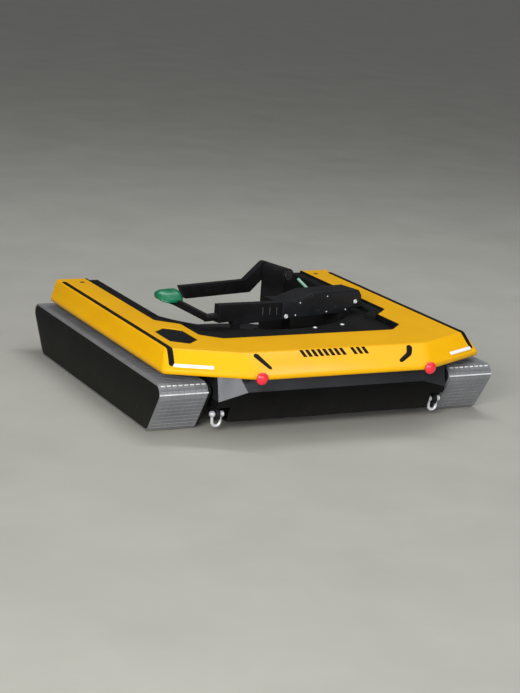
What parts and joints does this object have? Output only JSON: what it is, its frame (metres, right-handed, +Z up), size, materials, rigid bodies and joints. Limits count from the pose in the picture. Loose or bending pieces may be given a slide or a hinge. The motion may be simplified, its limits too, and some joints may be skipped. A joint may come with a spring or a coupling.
{
  "type": "tracked pushback tug with a nose wheel turntable",
  "caption": "Low U-shaped aircraft tug on rubber belts, with a turntable, a front gate beam and a lifting rear arm that hold a nose wheel.",
  "frame": {"origin": "centre of the footprint on the floor", "axes": "+X to the tug's left-hand belt seen from the rear, -Y the front, +Z up"},
  "size_m": [1.2, 1.2299, 0.339],
  "materials": {
    "yellow_paint": "satin",
    "black_plate": "satin",
    "guard_plate": "matte",
    "front_panel": "satin",
    "battery_case": "matte",
    "motor_case": "satin",
    "red_plastic": "gloss",
    "white_lens": "gloss",
    "galvanised": "satin",
    "belt_rubber": "matte",
    "roller_steel": "satin",
    "black_powder": "matte",
    "pad_rubber": "matte",
    "green_plastic": "gloss",
    "pale_green": "gloss"
  },
  "bodies": {
    "chassis": {"deck_cover": "yellow_paint", "cover_skirts": "yellow_paint", "control_panel": "black_plate", "deck_plate": "black_plate", "chassis_frame": "black_plate", "belly_plate": "black_plate", "well_wall": "black_plate", "rear_sill": "black_plate", "battery_pack": "battery_case", "drive_unit_l": "motor_case", "drive_unit_r": "motor_case", "front_band": "front_panel", "front_apron": "front_panel", "stop_button_l": "red_plastic", "stop_button_r": "red_plastic", "light_bar_l": "white_lens", "light_bar_r": "white_lens", "tow_lug_l": "black_powder", "tow_lug_r": "black_powder", "belt_l": "belt_rubber", "belt_r": "belt_rubber", "outer_guard_l": "guard_plate", "outer_guard_r": "guard_plate", "inner_guard_l": "black_plate", "inner_guard_r": "black_plate", "track_beam_l": "black_plate", "track_beam_r": "black_plate", "rollers_l": "roller_steel", "rollers_r": "roller_steel", "slewing_ring": "roller_steel"},
    "turntable": {"turntable": "black_plate", "beam_posts": "black_powder", "gate_beam": "black_powder", "arm_post": "black_powder", "foot_lever": "black_powder", "lever_grip": "green_plastic", "latch_rod": "pale_green"},
    "rear_arm": {"retaining_arm": "black_powder", "tyre_pad": "pad_rubber"},
    "shackle_l": {"shackle_l": "galvanised"},
    "shackle_r": {"shackle_r": "galvanised"}
  },
  "joints": [
    {"name": "turntable_turn", "type": "hinge", "parent": "chassis", "child": "turntable", "pos_m": [0, 0.192, 0.08], "axis": [0, 0, 1], "range_deg": [-102, 78]},
    {"name": "rear_arm_lift", "type": "hinge", "parent": "turntable", "child": "rear_arm", "pos_m": [0.21217, 0.43952, 0.309], "axis": [-0.2079, 0.9781, 0], "range_deg": [0, 95]},
    {"name": "shackle_l_swing", "type": "hinge", "parent": "chassis", "child": "shackle_l", "pos_m": [-0.394, -0.49, 0.062], "axis": [-1, 0, 0], "range_deg": [-15, 100]},
    {"name": "shackle_r_swing", "type": "hinge", "parent": "chassis", "child": "shackle_r", "pos_m": [0.394, -0.49, 0.062], "axis": [-1, 0, 0], "range_deg": [-15, 100]}
  ]
}
